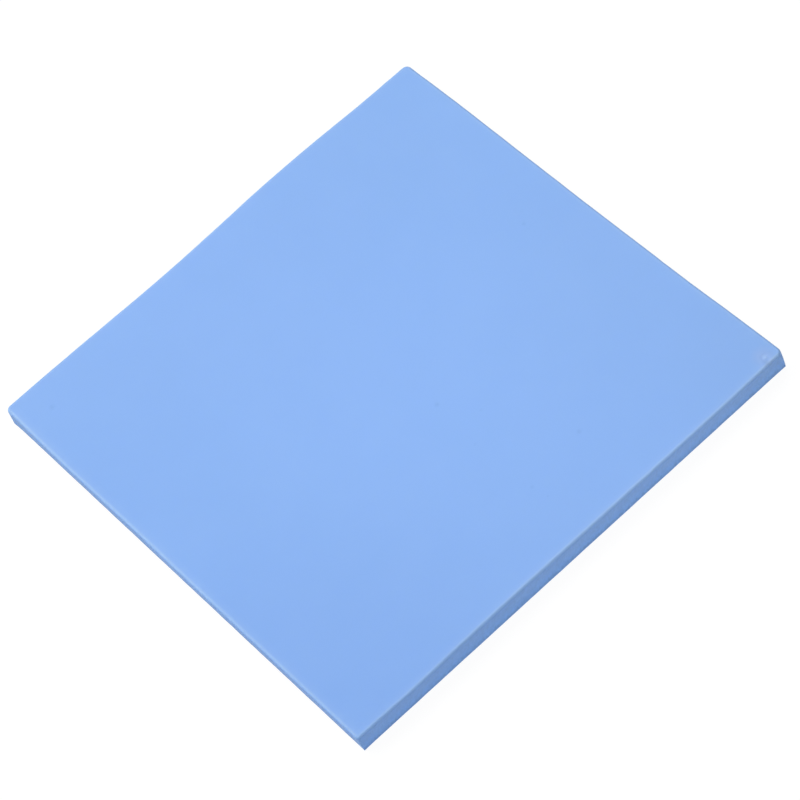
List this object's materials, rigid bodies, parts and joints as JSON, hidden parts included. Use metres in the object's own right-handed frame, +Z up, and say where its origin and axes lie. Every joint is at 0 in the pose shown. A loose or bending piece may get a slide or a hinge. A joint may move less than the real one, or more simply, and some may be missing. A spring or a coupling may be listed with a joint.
{
  "type": "thermal pad sheet",
  "caption": "Square sheet of soft blue silicone thermal pad, with blade-cut sides and a softly rolled top rim.",
  "frame": {"origin": "middle of the underside, which lies on the surface that carries the sheet", "axes": "+Z up through the thickness, +X along the length, +Y along the width"},
  "size_m": [0.1, 0.1006, 0.005],
  "materials": {
    "blue_silicone": "matt filled silicone, smooth on both faces and slightly grainy on the cut sides"
  },
  "bodies": {
    "root": {"pad_sheet": "blue_silicone"}
  },
  "joints": []
}
